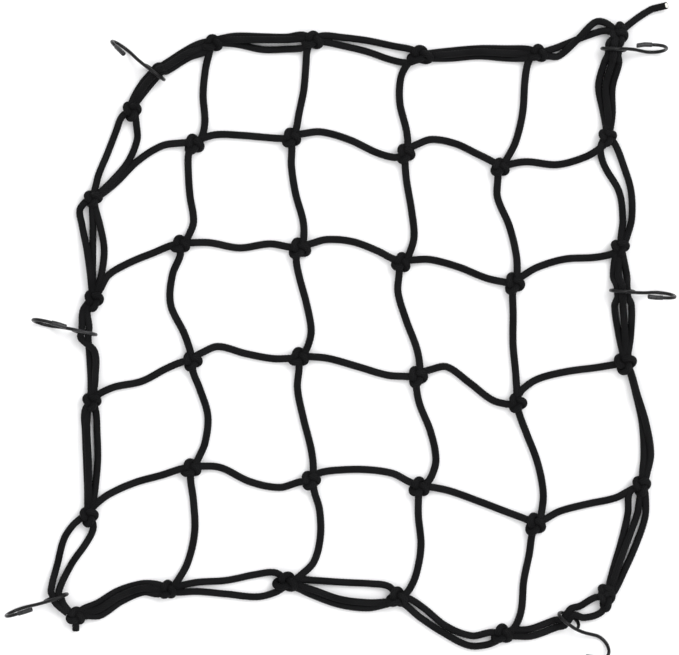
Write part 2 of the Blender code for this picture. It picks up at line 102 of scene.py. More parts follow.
def linear(code):
    """An sRGB hex colour as a linear one."""
    parts = [int(code[i:i + 2], 16) / 255 for i in (1, 3, 5)]
    return (*((c / 12.92 if c <= 0.04045 else ((c + 0.055) / 1.055) ** 2.4) for c in parts), 1.0)


def add_node(material, kind, settings=None, links=None, values=None):
    """One shader node, with its settings, its values and what is linked to its inputs."""
    node = material.node_tree.nodes.new(kind)
    for name, value in (settings or {}).items():
        setattr(node, name, value)
    for key, value in (values or {}).items():
        node.inputs[key].default_value = value
    for key, socket in (links or {}).items():
        material.node_tree.links.new(socket, node.inputs[key])
    return node


def blend_colours(material, factor, first, second):
    """A colour between two, as a mix node's result."""
    mix = add_node(material, "ShaderNodeMix", {"data_type": "RGBA"}, {0: factor})
    mix.inputs[6].default_value = linear(first)
    mix.inputs[7].default_value = linear(second)
    return mix.outputs[2]


# Braided polyester: the cord's sheath, plaited from sixteen flat yarns, eight
# each way. It is matt and near black; its colour is painted greyer on the yarns' crowns and darker in
# the grooves between them, as painted highlight and painted shade, and the crowns are greyest in worn
# patches.
YARNS = 8                # yarns each way round the cord
BRAID_LAY = 0.0168       # length in which a yarn goes once round, in metres
YARN_RELIEF = 0.00012
YARN_SHOULDER = 0.34     # from a yarn's edge to its full height, as a share of its width
FIBRES_TO_MM = 3.4       # fibre ends to a millimetre
PATCHES_TO_MM = 0.055    # worn patches to a millimetre, so each is some 18 mm long

sheath = bpy.data.materials.new("braided_polyester_sheath")
sheath.use_nodes = True
sheath_shader = sheath.node_tree.nodes["Principled BSDF"]
along_cord = add_node(sheath, "ShaderNodeUVMap", {"uv_map": "cord"})
split = add_node(sheath, "ShaderNodeSeparateXYZ", links={0: along_cord.outputs[0]})
round_part = add_node(sheath, "ShaderNodeMath", {"operation": "MULTIPLY"},
                      {0: split.outputs[1]}, {1: YARNS})
long_part = add_node(sheath, "ShaderNodeMath", {"operation": "MULTIPLY"},
                     {0: split.outputs[0]}, {1: YARNS / BRAID_LAY})
lay_right = add_node(sheath, "ShaderNodeMath", {"operation": "ADD"},
                     {0: round_part.outputs[0], 1: long_part.outputs[0]})
lay_left = add_node(sheath, "ShaderNodeMath", {"operation": "SUBTRACT"},
                    {0: round_part.outputs[0], 1: long_part.outputs[0]})
crowns = []
cells = []
for lay in (lay_right, lay_left):
    across = add_node(sheath, "ShaderNodeMath", {"operation": "PINGPONG"},
                      {0: lay.outputs[0]}, {1: 0.5})
    crown = add_node(sheath, "ShaderNodeMapRange", {"interpolation_type": "SMOOTHSTEP"},
                     {0: across.outputs[0]}, {1: 0.0, 2: YARN_SHOULDER})
    cell = add_node(sheath, "ShaderNodeMath", {"operation": "FLOOR"}, {0: lay.outputs[0]})
    crowns.append(crown)
    cells.append(cell)
cell_sum = add_node(sheath, "ShaderNodeMath", {"operation": "ADD"},
                    {0: cells[0].outputs[0], 1: cells[1].outputs[0]})
on_top = add_node(sheath, "ShaderNodeMath", {"operation": "FLOORED_MODULO"},
                  {0: cell_sum.outputs[0]}, {1: 2.0})
weave = add_node(sheath, "ShaderNodeMix", {"data_type": "FLOAT"},
                 {0: on_top.outputs[0], 2: crowns[0].outputs[0], 3: crowns[1].outputs[0]})
fibres = add_node(sheath, "ShaderNodeTexNoise", values={"Scale": FIBRES_TO_MM / MM, "Detail": 3.0})
place = add_node(sheath, "ShaderNodeTexCoord")
sheath.node_tree.links.new(place.outputs["Object"], fibres.inputs["Vector"])
handling = add_node(sheath, "ShaderNodeTexNoise",
                    values={"Scale": PATCHES_TO_MM / MM, "Detail": 2.0})
sheath.node_tree.links.new(place.outputs["Object"], handling.inputs["Vector"])
# Painted highlight and painted shade: the yarns' crowns lighter and the grooves between them darker,
# scaled by the worn patches.
lit_crowns_in_worn_patches = add_node(sheath, "ShaderNodeMath", {"operation": "MULTIPLY"},
                {0: weave.outputs[0], 1: handling.outputs[0]})
tone = blend_colours(sheath, lit_crowns_in_worn_patches.outputs[0], "#050506", "#202021")
sheath.node_tree.links.new(tone, sheath_shader.inputs["Base Color"])
dull = add_node(sheath, "ShaderNodeMapRange", links={0: fibres.outputs[0]}, values={3: 0.72, 4: 0.95})
sheath.node_tree.links.new(dull.outputs[0], sheath_shader.inputs["Roughness"])
yarn_height = add_node(sheath, "ShaderNodeMath", {"operation": "MULTIPLY_ADD"},
                       {0: fibres.outputs[0], 2: weave.outputs[0]}, {1: 0.35})
relief = add_node(sheath, "ShaderNodeBump", links={"Height": yarn_height.outputs[0]},
                  values={"Strength": 0.9, "Distance": YARN_RELIEF})
sheath.node_tree.links.new(relief.outputs[0], sheath_shader.inputs["Normal"])
sheath_shader.inputs["IOR"].default_value = 1.5
sheath_shader.inputs["Specular IOR Level"].default_value = 0.09
sheath_shader.inputs["Sheen Weight"].default_value = 0.01
sheath_shader.inputs["Sheen Roughness"].default_value = 0.5


def space_evenly(points, crown_step, closed=False):
    """Points at even steps along the same line, an even number of them round a loop."""
    line = points + [points[0]] if closed else points
    reach = [0.0]
    for near, far in zip(line, line[1:]):
        reach.append(reach[-1] + (far - near).length)
    steps = 2 * round(reach[-1] / crown_step / 2)
    spaced = []
    i = 0
    for step in range(steps if closed else steps + 1):
        at = reach[-1] * step / steps
        while i < len(line) - 2 and at > reach[i + 1]:
            i += 1
        spaced.append(line[i].lerp(line[i + 1], (at - reach[i]) / (reach[i + 1] - reach[i])))
    return spaced


def sweep_cord(mesh, points, radius, crown_step=BRAID_STEP, closed=False):
    """Sweep the sheath along the points; its crowns change places from ring to ring."""
    cord_map = mesh.loops.layers.uv.get("cord") or mesh.loops.layers.uv.new("cord")
    points = space_evenly(points, crown_step, closed)
    count = len(points)
    rings = []
    for i, point in enumerate(points):
        before = points[i - 1] if closed or i else point
        after = points[(i + 1) % count] if closed or i < count - 1 else point
        ahead = (after - before).normalized()
        up = Vector((0, 0, 1)).cross(ahead).normalized()
        across = up.cross(ahead)
        ring = []
        for side in range(BRAID_SIDES):
            angle = math.tau * side / BRAID_SIDES
            crown = BRAID_RELIEF if (i + side) % 2 else -BRAID_RELIEF
            offset = (across * math.cos(angle) + up * math.sin(angle)) * (radius + crown)
            ring.append(mesh.verts.new((point - MIDDLE + offset) * MM))
        rings.append(ring)
    pairs = list(zip(rings, rings[1:]))
    if closed:
        pairs.append((rings[-1], rings[0]))
    for i, (near, far) in enumerate(pairs):
        for side in range(BRAID_SIDES):
            nxt = (side + 1) % BRAID_SIDES
            face = mesh.faces.new((near[side], near[nxt], far[nxt], far[side]))
            corners = ((i, side), (i, side + 1), (i + 1, side + 1), (i + 1, side))
            for loop, (step, turn) in zip(face.loops, corners):
                loop[cord_map].uv = (step * crown_step * MM, turn / BRAID_SIDES)
    if not closed:
        mesh.faces.new(list(reversed(rings[0])))
        mesh.faces.new(rings[-1])


def make_cord_piece(name, mesh):
    """Turn the swept cords into a piece of the net that stands for its solid."""
    bmesh.ops.recalc_face_normals(mesh, faces=mesh.faces)
    data = bpy.data.meshes.new(name)
    mesh.to_mesh(data)
    mesh.free()
    data.shade_smooth()
    data.materials.append(sheath)
    piece = bpy.data.objects.new(name, data)
    bpy.context.collection.objects.link(piece)
    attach(piece, "root")
    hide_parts("net")


def lobe_path(x, y, width, depth, height, turn):
    """Three lobes of cord that pass over and under each other, resting on the floor."""
    wide = (width / 2 - KNOT_CORD) / LOBE_REACH
    deep = (depth / 2 - KNOT_CORD) / LOBE_REACH
    swing = height / 2 - KNOT_CORD
    points = []
    for step in range(LOBE_SAMPLES):
        t = math.tau * step / LOBE_SAMPLES
        flat = Vector((math.sin(t) + 2 * math.sin(2 * t), math.cos(t) - 2 * math.cos(2 * t)))
        flat.rotate(Matrix.Rotation(math.radians(turn), 2))
        z = max(KNOT_MIDDLE * height - swing * math.sin(3 * t), KNOT_CORD)
        points.append(Vector((x + flat.x * wide, y + flat.y * deep, z)))
    return points


knot_mesh = bmesh.new()
for row in KNOTS.values():
    sweep_cord(knot_mesh, lobe_path(*row), KNOT_CORD, KNOT_STEP, closed=True)
make_cord_piece("knots", knot_mesh)


# ------------------------------------------------------- Cords of the mesh
# Single lengths of the same cord run from knot to knot and lie slack on the
# floor. The table gives how far each one bows off the straight line between
# its knots, in millimetres, so every opening keeps its own crooked shape.

MESH_CORD = 2.45
KNOT_EXIT = 7.0          # distance from a knot's middle to where a cord leaves it
KNOT_START = 1.5         # where a cord starts inside its knot
KNOT_BOW = 0.35          # a cord's bow inside its knot, as a share of its bow at the exit
EXIT_HEIGHT = 4.2        # cord's middle where it leaves the knot
SPAN_SAMPLES = 160

# from, to, bow to the left at: first exit, quarter, middle, three-quarter, last exit
MESH_STRANDS = [
    ("L1", "K11", 0.0, 2.4, 8.2, 9.5, 5.2),
    ("K11", "K12", 4.3, 5.9, 4.2, 1.7, 0.4),
    ("K12", "K13", 4.0, 7.0, 4.5, -1.5, -3.2),
    ("K13", "K14", 7.6, 12.2, 11.8, 7.0, 4.0),
    ("K14", "R1", 0.5, -1.0, -8.3, -8.7, -5.9),
    ("L2", "K21", 3.6, 8.8, 8.1, 4.9, 3.1),
    ("K21", "K22", 1.5, 2.0, -0.7, 2.7, 1.1),
    ("K22", "K23", 4.5, 8.7, 9.7, 6.0, 2.4),
    ("K23", "K24", 3.3, 5.8, 4.3, 0.5, 0.0),
    ("K24", "R2", 3.2, 5.5, 4.7, -0.5, -2.2),
    ("L3", "K31", 3.1, 3.5, 0.3, 2.0, 2.2),
    ("K31", "K32", 5.7, 9.3, 4.0, 0.0, -0.4),
    ("K32", "K33", 1.8, 2.6, 0.4, -2.0, -0.8),
    ("K33", "K34", 6.9, 11.5, 5.2, -2.0, -2.4),
    ("K34", "R3", 7.6, 10.3, 8.3, 4.0, 1.7),
    ("L4", "K41", 5.2, 7.7, 7.3, 4.1, 2.7),
    ("K41", "K42", 2.3, 2.5, -4.8, -6.7, -1.7),
    ("K42", "K43", 5.9, 8.1, 9.6, 8.2, 3.5),
    ("K43", "K44", 2.7, 4.1, 3.5, 2.4, 1.8),
    ("K44", "R4", 1.2, 2.8, 1.0, -1.6, 0.0),
    ("T1", "K11", -0.8, -1.4, 0.0, 4.3, 4.4),
    ("K11", "K21", -2.6, -1.5, 2.0, 6.8, 5.0),
    ("K21", "K31", -0.5, -7.1, -10.3, -3.5, -0.5),
    ("K31", "K41", 0.8, 5.2, 10.9, 9.5, 5.2),
    ("K41", "B1", 1.3, 5.8, 10.5, 9.7, 5.2),
    ("T2", "K12", -2.2, -0.9, 1.3, 1.6, 2.0),
    ("K12", "K22", 0.0, -1.1, 0.3, 3.9, 3.5),
    ("K22", "K32", -2.0, 0.0, 5.0, 8.3, 5.9),
    ("K32", "K42", -0.3, -2.7, -0.6, 2.5, 2.7),
    ("K42", "B2", 4.5, 10.4, 15.2, 14.9, 8.6),
    ("T3", "K13", -7.6, -10.5, -8.6, -1.8, 0.7),
    ("K13", "K23", 0.3, 1.7, 5.5, 8.0, 5.5),
    ("K23", "K33", -2.3, -4.8, -2.0, 2.2, 2.6),
    ("K33", "K43", -0.8, 1.3, 8.3, 11.5, 8.2),
    ("K43", "B3", 1.0, 3.3, 8.8, 9.5, 6.9),
    ("T4", "K14", -4.2, -2.3, 2.8, 4.5, 2.5),
    ("K14", "K24", -2.2, -3.9, 1.5, 3.8, 2.9),
    ("K24", "K34", -1.2, -1.1, -1.7, -0.4, 0.0),
    ("K34", "K44", 0.3, 3.2, 7.7, 8.6, 5.3),
    ("K44", "B4", 0.0, 1.9, 3.7, 7.7, 6.7),
]


def knot_place(name):
    """Middle of a knot: its place and its height above the floor."""
    x, y, _, _, height, _ = KNOTS[name]
    return Vector((x, y, KNOT_MIDDLE * height))


def smooth_value(stations, values, at):
    """Value at a place along a smooth curve through the stations."""
    slopes = []
    for i in range(len(stations)):
        low = max(i - 1, 0)
        high = min(i + 1, len(stations) - 1)
        slopes.append((values[high] - values[low]) / (stations[high] - stations[low]))
    i = 0
    while i < len(stations) - 2 and at > stations[i + 1]:
        i += 1
    width = stations[i + 1] - stations[i]
    t = (at - stations[i]) / width
    rise = (1 + 2 * t) * (1 - t) ** 2 * values[i] + t * (1 - t) ** 2 * width * slopes[i]
    fall = t * t * (3 - 2 * t) * values[i + 1] - t * t * (1 - t) * width * slopes[i + 1]
    return rise + fall


def follow_stations(start, ahead, stations, side, lift, finish):
    """Points of a cord whose side and height are given at stations along its line."""
    left = Vector((-ahead.y, ahead.x))
    points = []
    for step in range(SPAN_SAMPLES + 1):
        at = KNOT_START + (finish - KNOT_START) * step / SPAN_SAMPLES
        flat = start.to_2d() + ahead * at + left * smooth_value(stations, side, at)
        height = max(smooth_value(stations, lift, at), min(lift))
        points.append(Vector((flat.x, flat.y, height)))
    return points


def span_stations(start, end, bows, heights, radius):
    """Stations of a cord between two knots: place along it, side and height of its middle."""
    length = (end - start).to_2d().length
    stations = [0.0, KNOT_EXIT, length / 4, length / 2, 3 * length / 4, length - KNOT_EXIT, length]
    side = [KNOT_BOW * bows[0], *bows, KNOT_BOW * bows[4]]
    lift = [start.z, EXIT_HEIGHT, *(radius + h for h in heights), EXIT_HEIGHT, end.z]
    return stations, side, lift


cord_mesh = bmesh.new()
for first, last, *bows in MESH_STRANDS:
    start, end = knot_place(first), knot_place(last)
    chord = (end - start).to_2d()
    shape = span_stations(start, end, bows, (0.0, 0.0, 0.0), MESH_CORD)
    path = follow_stations(start, chord.normalized(), *shape, chord.length - KNOT_START)
    sweep_cord(cord_mesh, path, MESH_CORD)
make_cord_piece("mesh_cords", cord_mesh)


# --------------------------------------------------------- Cords of the border
# Two or three lengths of cord lie side by side, or on each other, between the
# knots of the border. Where a wire hook holds them they run close together
# through its eye.

EDGE_CORD = 2.35
EYE_HEIGHT = 8.95        # middle of a hook's eye above the floor
SEAT_ROOM = 3.6          # from an eye's middle to the middle of a cord that lies in it
SEAT_STACK = 4.9         # between the middles of cords that lie on each other
SEAT_REACH = 4.0         # cords run level and straight this far on both sides of the eye
SEAT_CLEAR = 6.5         # a bow this close to a hook gives way to its seat

# Clockwise: bow outwards at the same five places, then the height above the
# floor of the cord's underside at the quarter, middle and three-quarter
EDGE_STRANDS = [
    ("TL", "T1", 6.1, 9.8, 10.3, 8.0, 5.6, 0.0, 0.0, 0.0),
    ("TL", "T1", 2.6, 4.9, 5.4, 2.7, -1.3, 0.0, 0.0, 0.0),
    ("TL", "T1", 4.4, 7.4, 8.0, 5.5, 2.2, 4.4, 4.4, 4.0),
    ("T1", "T2", 3.3, 4.6, 3.7, 3.0, 4.1, 0.0, 0.0, 0.0),
    ("T1", "T2", 0.0, -1.0, -4.9, -5.1, -4.6, 0.0, 0.0, 0.0),
    ("T1", "T2", 1.7, 1.9, 1.4, 1.0, 1.6, 4.2, 4.5, 4.5),
    ("T2", "T3", 4.4, 5.0, 5.2, 4.0, 3.4, 0.0, 0.0, 0.0),
    ("T2", "T3", 0.4, -0.3, -2.0, -5.4, -5.6, 0.0, 0.0, 0.0),
    ("T3", "T4", 1.6, 2.9, 4.2, 3.8, 3.3, 0.0, 0.0, 0.0),
    ("T3", "T4", -1.8, -2.0, -0.8, -2.6, -2.7, 0.0, 0.0, 0.0),
    ("T3", "T4", 0.0, 0.5, 1.8, 0.6, 0.3, 4.3, 4.3, 4.0),
    ("T4", "TR", 0.8, 1.7, 4.2, 6.3, 6.0, 0.0, 0.0, 0.0),
    ("T4", "TR", -3.1, -4.1, 3.8, 13.0, 11.6, 0.0, 5.0, 0.8),
    ("TR", "R1", 2.6, 2.2, -0.3, 1.6, 1.5, 0.0, 0.0, 0.0),
    ("TR", "R1", -7.6, -7.3, -9.6, -4.6, -1.7, 0.0, 0.0, 0.0),
    ("TR", "R1", -2.4, -2.4, -4.9, -1.5, 0.0, 2.4, 2.2, 3.8),
    ("R1", "R2", 5.3, 8.4, 11.7, 10.1, 5.6, 0.0, 0.0, 0.0),
    ("R1", "R2", -5.4, -4.0, 3.8, 4.1, 1.5, 0.0, 0.0, 0.0),
    ("R2", "R3", 2.0, 3.9, 6.1, 4.9, 2.6, 0.0, 0.0, 0.0),
    ("R2", "R3", -3.6, -5.2, -5.1, -3.2, -1.2, 0.0, 0.0, 0.0),
    ("R2", "R3", -1.0, -1.8, 0.4, 0.9, 0.6, 3.6, 1.6, 3.0),
    ("R3", "R4", 3.4, 5.2, 8.6, 9.2, 4.6, 4.6, 3.6, 0.6),
    ("R3", "R4", 2.8, 4.6, 6.2, 4.6, 1.6, 0.0, 0.0, 0.0),
    ("R4", "BR", 5.2, 8.7, 8.2, 5.9, 3.9, 0.0, 0.0, 0.0),
    ("R4", "BR", -6.2, -3.1, -1.6, -1.3, -0.7, 0.0, 0.0, 0.0),
    ("R4", "BR", 1.3, 3.0, 2.0, 1.0, 1.2, 0.4, 3.4, 4.2),
    ("BR", "B4", 7.8, 7.3, 7.5, 7.6, 3.6, 0.0, 0.0, 0.0),
    ("BR", "B4", -3.0, -0.8, 2.6, 2.7, -0.5, 0.0, 0.0, 0.0),
    ("B4", "B3", 9.6, 14.3, 11.9, 7.2, 2.6, 0.0, 0.0, 0.0),
    ("B4", "B3", 0.9, 7.5, 7.0, 0.4, -2.3, 0.0, 0.0, 0.0),
    ("B3", "B2", -7.0, -6.9, -5.2, -3.9, -3.0, 0.0, 0.0, 0.0),
    ("B3", "B2", 5.4, 9.5, 9.8, 6.0, 2.4, 0.0, 0.0, 0.0),
    ("B3", "B2", 3.6, 5.7, 6.0, 2.4, 0.5, 3.0, 3.0, 3.4),
    ("B2", "B1", -7.0, -6.5, -3.9, -3.9, -2.2, 0.0, 0.0, 0.0),
    ("B2", "B1", 6.0, 8.4, 5.3, 2.2, 1.8, 0.0, 0.0, 0.0),
    ("B1", "BL", 0.6, -3.1, -1.2, 3.9, 1.7, 0.0, 0.0, 0.0),
    ("B1", "BL", -6.4, -8.9, -8.7, -4.5, -3.6, 0.0, 0.0, 0.0),
    ("B1", "BL", -3.0, -6.0, -4.9, -0.3, -1.0, 4.0, 3.2, 2.6),
    ("BL", "L4", 9.4, 15.7, 16.6, 14.4, 9.6, 0.0, 0.0, 0.0),
    ("BL", "L4", 4.6, 10.4, 7.6, -1.0, -4.0, 0.0, 0.0, 0.0),
    ("L4", "L3", 0.9, 1.4, 2.6, 3.8, 4.4, 0.0, 0.0, 0.0),
    ("L4", "L3", -2.2, -3.8, -5.0, -4.1, -3.2, 0.0, 0.0, 0.0),
    ("L4", "L3", 0.0, 0.4, 1.0, 2.4, 2.4, 4.2, 4.5, 4.5),
    ("L3", "L2", 0.5, 0.9, 2.3, 4.1, 4.2, 0.0, 0.0, 0.0),
    ("L3", "L2", -1.4, -2.3, -1.3, 7.6, 7.0, 3.7, 4.0, 3.2),
    ("L2", "L1", 1.2, 2.0, 4.2, 7.5, 8.6, 4.4, 3.2, 0.4),
    ("L2", "L1", 0.5, 0.6, 0.4, 0.2, 0.4, 0.0, 0.0, 0.0),
    ("L2", "L1", -2.2, -5.2, -7.2, -4.4, -1.8, 0.0, 0.0, 1.6),
    ("L1", "TL", 1.4, 3.0, 3.4, 4.2, 4.6, 0.0, 0.0, 0.0),
    ("L1", "TL", -3.4, -7.0, -11.4, -10.9, -6.4, 2.6, 0.0, 0.0),
]

# name, edge knots on both sides, x and y of the eye, direction, lean of the eye and
# of the bend to the left, how far the bend is bent round, then the direction of the
# cords in the eye, how far outwards they sit there and half the spread of the outer two
HOOKS = [
    ("hook_1", "TL", "T1", -123.9, 169.4, 140.8, 3.0, 9.5, 44.0, 48.0, -0.7, 2.4),
    ("hook_2", "TR", "R1", 181.4, 184.8, -3.8, 0.0, 13.5, 78.0, -95.5, 0.0, 3.4),
    ("hook_3", "R2", "R3", 187.2, 24.0, -2.4, -3.0, -11.0, 68.0, -86.0, 0.0, 3.4),
    ("hook_4", "BR", "B4", 151.6, -194.9, -29.5, -18.0, -41.0, 42.0, 230.0, -2.0, 2.2),
    ("hook_5", "BL", "L4", -189.6, -180.1, 197.4, 3.0, 7.0, 68.0, 112.0, -0.8, 2.6),
    ("hook_6", "L3", "L2", -170.7, -3.5, 169.4, -3.0, -8.5, 94.0, 85.0, -0.3, -2.4),
]


def seats_in_eye(spread):
    """Side and height of the cords in an eye: two on its bottom, the third on top of them."""
    low = EYE_HEIGHT - math.sqrt(SEAT_ROOM ** 2 - spread ** 2)
    top = low + math.sqrt(SEAT_STACK ** 2 - spread ** 2)
    return [(spread, low), (-spread, low), (0.0, top)]


def lead_through_eye(start, ahead, shape, hook, place):
    """Lead a cord's stations through a hook's eye, at its own place in there."""
    x, y, heading, shift, spread = (*hook[3:5], *hook[9:])
    run = Vector((math.cos(math.radians(heading)), math.sin(math.radians(heading))))
    left = Vector((-ahead.y, ahead.x))
    side, height = seats_in_eye(spread)[place]
    from_start = Vector((x, y)) - start.to_2d()
    at = from_start.dot(ahead)
    aside = from_start.dot(left) + shift + side
    slope = run.dot(left) / run.dot(ahead)
    rows = [row for row in zip(*shape) if abs(row[0] - at) > SEAT_CLEAR]
    for reach in (-SEAT_REACH, 0.0, SEAT_REACH):
        rows.append((at + reach, aside + slope * reach, height))
    return [list(column) for column in zip(*sorted(rows))]


hook_between = {(row[1], row[2]): row for row in HOOKS}
seated = {}
border_mesh = bmesh.new()
for first, last, *sizes in EDGE_STRANDS:
    start, end = knot_place(first), knot_place(last)
    chord = (end - start).to_2d()
    shape = span_stations(start, end, sizes[:5], sizes[5:], EDGE_CORD)
    if (first, last) in hook_between:
        place_in_eye = seated.get((first, last), 0)
        seated[(first, last)] = place_in_eye + 1
        hook = hook_between[(first, last)]
        shape = lead_through_eye(start, chord.normalized(), shape, hook, place_in_eye)
    path = follow_stations(start, chord.normalized(), *shape, chord.length - KNOT_START)
    sweep_cord(border_mesh, path, EDGE_CORD)
make_cord_piece("border_cords", border_mesh)


# ------------------------------------------------------------- Loose ends
# The last length of cord leaves one corner as a long tail, and the first one
# ends in a short stub at the corner across from it. Both are cut straight,
# and the tail's tip curls up and shows the white rubber threads of its core.

# from, x and y of the cut end, rise of its tip, then the bow at the same five places
LOOSE_ENDS = [
    ("TR", 216.7, 214.1, 3.4, 2.9, 3.3, 3.9, 3.5, 2.7),
    ("BL", -176.7, -202.2, 0.0, 0.0, 0.0, 0.0, 0.0, 0.0),
]
SHORT_END = 28.0         # an end shorter than this lies straight
TIP_CURL = 9.0           # length of the tail's tip that curls up
CORE_THREAD = 0.36       # radius of one rubber thread
CORE_RINGS = (1, 6, 12)  # threads from the middle outwards
CORE_TURN = 0.3          # turn of each ring against the one inside it, in radians
CORE_PROUD = 0.5         # how far the core stands out of the sheath
DUST_TO_MM = 1.5         # specks of dusting powder to a millimetre

# Latex rubber: fine threads cut off square, with dusting powder on them, so
# they are matt and chalky white.
rubber = bpy.data.materials.new("white_latex_rubber_thread")
rubber.use_nodes = True
rubber_shader = rubber.node_tree.nodes["Principled BSDF"]
rubber_shader.inputs["Roughness"].default_value = 0.55
rubber_shader.inputs["IOR"].default_value = 1.52
place = add_node(rubber, "ShaderNodeTexCoord")
dust = add_node(rubber, "ShaderNodeTexNoise", values={"Scale": DUST_TO_MM / MM, "Detail": 2.0})
rubber.node_tree.links.new(place.outputs["Object"], dust.inputs["Vector"])
chalk = blend_colours(rubber, dust.outputs[0], "#e4e2db", "#fbfaf6")
rubber.node_tree.links.new(chalk, rubber_shader.inputs["Base Color"])

loose_mesh = bmesh.new()
core_mesh = bmesh.new()
for first, x, y, tip_rise, *bows in LOOSE_ENDS:
    start = knot_place(first)
    end = Vector((x, y, EDGE_CORD))
    chord = (end - start).to_2d()
    length = chord.length
    if length < SHORT_END:
        shape = [0.0, length], [0.0, 0.0], [start.z, EDGE_CORD]
    else:
        shape = span_stations(start, end, bows, (0.0, 0.0, 0.0), EDGE_CORD)
        shape[1][6] = 0.0
        shape[2][5] = EDGE_CORD
        shape[2][6] = EDGE_CORD
    path = follow_stations(start, chord.normalized(), *shape, length)
    for point in path:
        near_tip = max(TIP_CURL - (path[-1] - point).to_2d().length, 0.0) / TIP_CURL
        point.z += tip_rise * near_tip ** 2
    sweep_cord(loose_mesh, path, EDGE_CORD)
    ahead = (path[-1] - path[-3]).normalized()
    turn = ahead.to_track_quat("Z", "Y").to_matrix().to_4x4()
    for ring, threads in enumerate(CORE_RINGS):
        for i in range(threads):
            angle = math.tau * i / threads + CORE_TURN * ring
            offset = 2 * CORE_THREAD * ring
            local = Vector((offset * math.cos(angle), offset * math.sin(angle), 0.0))
            spot = Matrix.Translation((path[-1] - MIDDLE) * MM) @ turn @ Matrix.Translation(local * MM)
            size = Matrix.Diagonal((CORE_THREAD * MM, CORE_THREAD * MM, CORE_PROUD * MM, 1.0))
            bmesh.ops.create_uvsphere(core_mesh, u_segments=12, v_segments=8, radius=1.0,
                                      matrix=spot @ size)
make_cord_piece("loose_ends", loose_mesh)

core_data = bpy.data.meshes.new("rubber_core")
core_mesh.to_mesh(core_data)
core_mesh.free()
core_data.shade_smooth()
core_data.materials.append(rubber)
rubber_core = bpy.data.objects.new("rubber_core", core_data)
bpy.context.collection.objects.link(rubber_core)
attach(rubber_core, "root")


# ------------------------------------------------------------- Wire hooks
# Six S-hooks, each bent from 2.3 mm spring wire and coated black. The eye is
# closed round the border's cords, the bend is open to grip a rail, and its tip
# is dipped once more, so it is thicker. The shank has a little twist.

WIRE = 1.15              # radius of the coated wire
WIRE_SIDES = 20
EYE_RADIUS = 7.8         # to the wire's middle, as for the bend
BEND_RADIUS = 9.1
EYE_TO_BEND = 26.0       # from the eye's middle to the bend's
EYE_START = -4.0         # where the wire's cut end lies round the eye, in degrees
EYE_STEPS = 44
SHANK_STEPS = 8
BEND_STEPS = 36
TWIST_END = 14.0         # the shank is twisted from the eye's middle as far as this
END_ROUND = 0.35         # rounding of the wire's cut end
SCUFFS_TO_MM = 0.26      # scuffs to a millimetre, so each is some 4 mm long
DIMPLES_TO_MM = 0.9      # dimples of the set coat to a millimetre
RUNS_TO_MM = 0.42        # runs of the second dip to a millimetre

# distance behind the bend, radius
TIP_PROFILE = [(1.3, 1.15), (2.5, 1.15), (2.54, 1.38), (2.68, 1.54), (2.95, 1.6), (7.6, 1.62),
               (12.4, 1.6), (12.75, 1.5), (12.94, 1.28), (13.0, 0.95)]

# Vinyl dipped over spring wire: a thin even coat, near black with a half gloss,
# which is duller where it is scuffed and has shallow dimples from setting.
vinyl = bpy.data.materials.new("black_vinyl_dip_on_spring_wire")
vinyl.use_nodes = True
vinyl_shader = vinyl.node_tree.nodes["Principled BSDF"]
vinyl_shader.inputs["IOR"].default_value = 1.5
vinyl_shader.inputs["Specular IOR Level"].default_value = 0.22
place = add_node(vinyl, "ShaderNodeTexCoord")
scuffs = add_node(vinyl, "ShaderNodeTexNoise", values={"Scale": SCUFFS_TO_MM / MM, "Detail": 4.0})
vinyl.node_tree.links.new(place.outputs["Object"], scuffs.inputs["Vector"])
rubbed = add_node(vinyl, "ShaderNodeMapRange", links={0: scuffs.outputs[0]},
                  values={1: 0.35, 2: 0.75, 3: 0.24, 4: 0.46})
vinyl.node_tree.links.new(rubbed.outputs[0], vinyl_shader.inputs["Roughness"])
coat_tone = blend_colours(vinyl, scuffs.outputs[0], "#070708", "#151516")
vinyl.node_tree.links.new(coat_tone, vinyl_shader.inputs["Base Color"])
dimples = add_node(vinyl, "ShaderNodeTexNoise",
                   values={"Scale": DIMPLES_TO_MM / MM, "Detail": 1.0})
vinyl.node_tree.links.new(place.outputs["Object"], dimples.inputs["Vector"])
skin = add_node(vinyl, "ShaderNodeBump", links={"Height": dimples.outputs[0]},
                values={"Strength": 0.25, "Distance": 0.00006})
vinyl.node_tree.links.new(skin.outputs[0], vinyl_shader.inputs["Normal"])

# The second dip on the tip: soft vinyl, thicker and smoother than the first. It is
# a little greyer, partly the vinyl's own tone and partly a painted highlight standing for the light on
# the thick tip.
dipped = bpy.data.materials.new("soft_black_vinyl_tip_with_painted_highlight")
dipped.use_nodes = True
dipped_shader = dipped.node_tree.nodes["Principled BSDF"]
dipped_shader.inputs["IOR"].default_value = 1.5
dipped_shader.inputs["Specular IOR Level"].default_value = 0.35
place = add_node(dipped, "ShaderNodeTexCoord")
runs = add_node(dipped, "ShaderNodeTexNoise", values={"Scale": RUNS_TO_MM / MM, "Detail": 2.0})
dipped.node_tree.links.new(place.outputs["Object"], runs.inputs["Vector"])
smear = add_node(dipped, "ShaderNodeMapRange", links={0: runs.outputs[0]},
                 values={1: 0.3, 2: 0.8, 3: 0.22, 4: 0.42})
dipped.node_tree.links.new(smear.outputs[0], dipped_shader.inputs["Roughness"])
# Painted highlight: the tip's tone is set greyer than the coat's to stand for the light on it; the
# runs vary it.
dip_tone_with_painted_highlight = blend_colours(dipped, runs.outputs[0], "#151517", "#2c2c2e")
dipped.node_tree.links.new(dip_tone_with_painted_highlight, dipped_shader.inputs["Base Color"])


